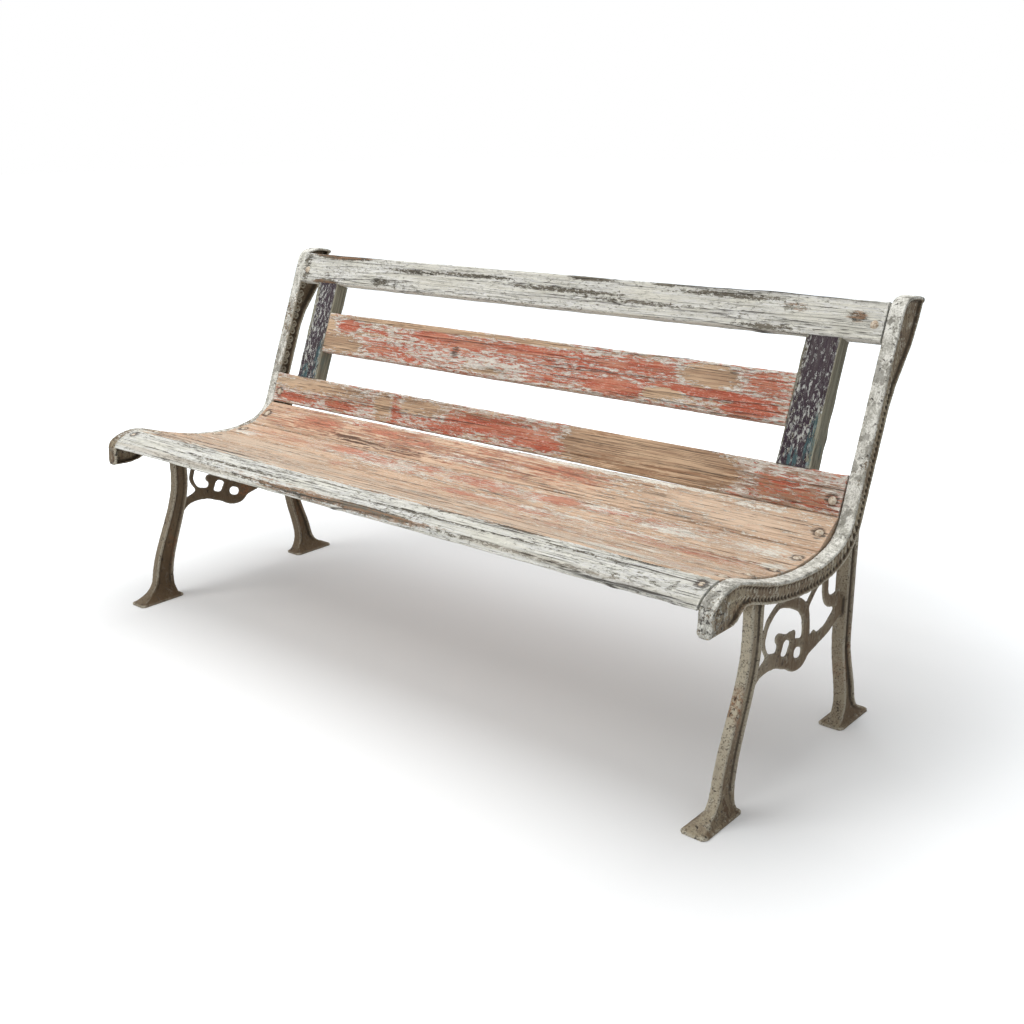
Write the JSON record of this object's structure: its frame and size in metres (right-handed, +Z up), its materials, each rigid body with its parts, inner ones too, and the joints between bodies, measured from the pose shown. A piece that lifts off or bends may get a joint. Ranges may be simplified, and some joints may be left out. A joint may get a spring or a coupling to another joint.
{
  "type": "park bench",
  "caption": "Slatted park bench: cast iron end frames with scrollwork between splayed legs carry a curved wooden seat and an open back of rails and upright battens.",
  "frame": {"origin": "on the ground, under the middle of the bench's length and depth", "axes": "+X along the bench, to the right as seen from the front, +Y from the front edge to the back, +Z up"},
  "size_m": [1.65, 0.7044, 0.8067],
  "materials": {
    "cast_iron": "rough old casting with remains of flaking white paint on the rim",
    "white_painted_wood": "flaking white paint on cracked grey wood",
    "weathered_wood": "bare weathered wood with traces of red and white paint",
    "red_painted_wood": "worn coral red paint over ochre wood",
    "dark_painted_wood": "scratched dark violet paint over grey wood",
    "steel": "dull weathered steel",
    "oak": "bare wood"
  },
  "bodies": {
    "root": {"end_frame_left": "cast_iron", "end_frame_right": "cast_iron", "front_slat": "white_painted_wood", "seat_slat_1": "weathered_wood", "seat_slat_2": "weathered_wood", "seat_slat_3": "weathered_wood", "seat_slat_4": "weathered_wood", "seat_slat_5": "weathered_wood", "lower_back_rail": "red_painted_wood", "middle_back_rail": "red_painted_wood", "top_back_rail": "white_painted_wood", "batten_left": "dark_painted_wood", "batten_right": "dark_painted_wood", "seat_bolts": "steel", "back_bolts": "steel", "seat_washers": "steel", "back_washers": "steel", "seat_nuts": "steel", "back_nuts": "steel", "batten_dowels": "oak", "middle_rail_dowels": "oak"}
  },
  "joints": []
}
